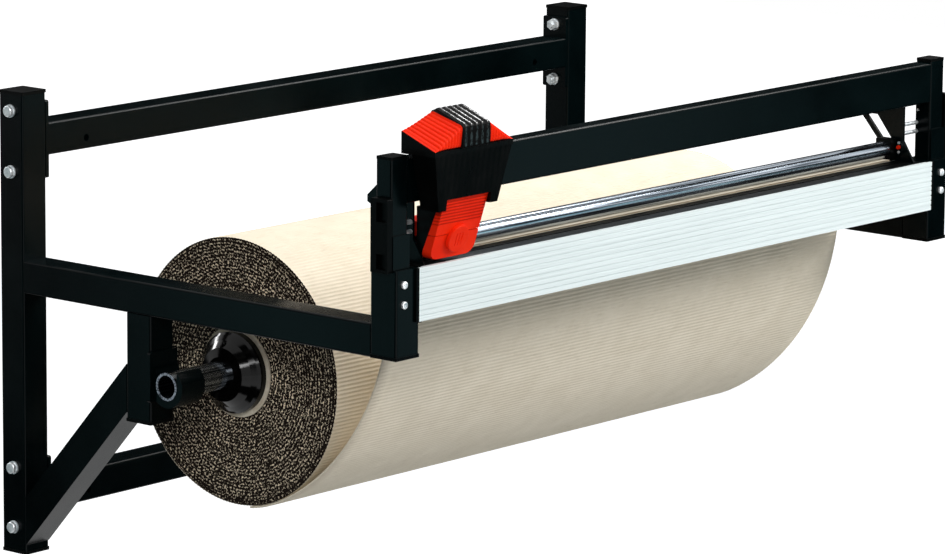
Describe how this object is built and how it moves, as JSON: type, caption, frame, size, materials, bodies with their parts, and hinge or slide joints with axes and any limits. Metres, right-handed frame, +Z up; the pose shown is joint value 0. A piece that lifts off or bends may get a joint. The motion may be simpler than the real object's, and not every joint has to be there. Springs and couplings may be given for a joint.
{
  "type": "wall-mounted roll cutter for corrugated wrapping paper",
  "caption": "Wall frame of square tube that holds a roll of corrugated paper, with a table edge, a rod and a sliding cutter head that trims the sheet.",
  "frame": {"origin": "centre of the four wall-fixing holes, on the plane of the wall", "axes": "+X along the roll to the right as seen from the front, +Y into the wall, +Z up"},
  "size_m": [1.098, 0.682, 0.6145],
  "materials": {
    "black_powder_coat": "satin",
    "black_plastic": "matte",
    "red_plastic": "satin",
    "zinc_steel": "satin",
    "chrome_tube": "polished",
    "profile_aluminium": "satin",
    "pale_strip": "satin",
    "blade_steel": "polished",
    "gloss_black_plastic": "gloss",
    "corrugated_paper": "matte",
    "core_board": "matte"
  },
  "bodies": {
    "frame": {"wall_post_left": "black_powder_coat", "wall_post_right": "black_powder_coat", "tube_end_caps": "black_plastic", "upper_back_beam": "black_powder_coat", "lower_back_beam": "black_powder_coat", "beam_end_plates": "black_powder_coat", "wall_fixing_sleeves": "zinc_steel", "frame_bolts": "zinc_steel", "frame_washers": "zinc_steel", "frame_nuts": "zinc_steel", "side_arm_left": "black_powder_coat", "side_arm_right": "black_powder_coat", "front_post_left": "black_powder_coat", "front_post_right": "black_powder_coat", "roll_hanger_left": "black_powder_coat", "roll_hanger_right": "black_powder_coat", "hanger_strut_left": "black_powder_coat", "hanger_strut_right": "black_powder_coat", "axle_cradle_left": "black_powder_coat", "axle_cradle_right": "black_powder_coat", "table_profile": "profile_aluminium", "profile_end_caps": "black_plastic", "cutting_strips": "black_plastic", "slot_floor_strip": "pale_strip", "table_bed": "black_powder_coat", "table_cleats": "black_powder_coat", "table_screws": "zinc_steel", "bridge_guide_screws": "zinc_steel", "paper_web": "corrugated_paper"},
    "roll": {"axle_tube": "chrome_tube", "core_cone_left": "gloss_black_plastic", "core_cone_right": "gloss_black_plastic", "cone_set_screws": "zinc_steel", "roll_core": "core_board", "paper_roll": "corrugated_paper"},
    "press_bridge": {"bridge_leg_left": "black_powder_coat", "bridge_leg_right": "black_powder_coat", "bridge_leg_caps": "black_plastic", "bridge_beam": "black_powder_coat", "leg_side_covers": "black_plastic", "leg_front_plates": "black_powder_coat", "rod_bracket_left": "black_powder_coat", "rod_bracket_right": "black_powder_coat", "rod_braces": "black_powder_coat", "bracket_pins": "zinc_steel", "rod_end_blocks": "black_plastic", "end_studs": "red_plastic", "guide_rod": "chrome_tube"},
    "carriage": {"head_body": "black_plastic", "nose_body": "black_plastic", "grip_pad_left": "red_plastic", "grip_pad_right": "red_plastic", "palm_strip": "black_plastic", "upper_front_cover": "red_plastic", "lower_front_cover": "red_plastic", "guide_shoe": "red_plastic", "blade_holder": "zinc_steel", "cutter_blade": "blade_steel"},
    "knob": {"lock_knob": "red_plastic"}
  },
  "joints": [
    {"name": "roll_spin", "type": "hinge", "parent": "frame", "child": "roll", "pos_m": [0, -0.28006, -0.04], "axis": [1, 0, 0], "continuous": true},
    {"name": "press_bridge_lift", "type": "slide", "parent": "frame", "child": "press_bridge", "axis": [0, 0, 1], "range_m": [0, 0.035]},
    {"name": "carriage_slide", "type": "slide", "parent": "press_bridge", "child": "carriage", "axis": [1, 0, 0], "range_m": [0, 0.883]},
    {"name": "knob_turn", "type": "hinge", "parent": "carriage", "child": "knob", "pos_m": [-0.4415, -0.64962, 0.175], "axis": [0, -0.9512, -0.3085], "range_deg": [0, 90]}
  ]
}
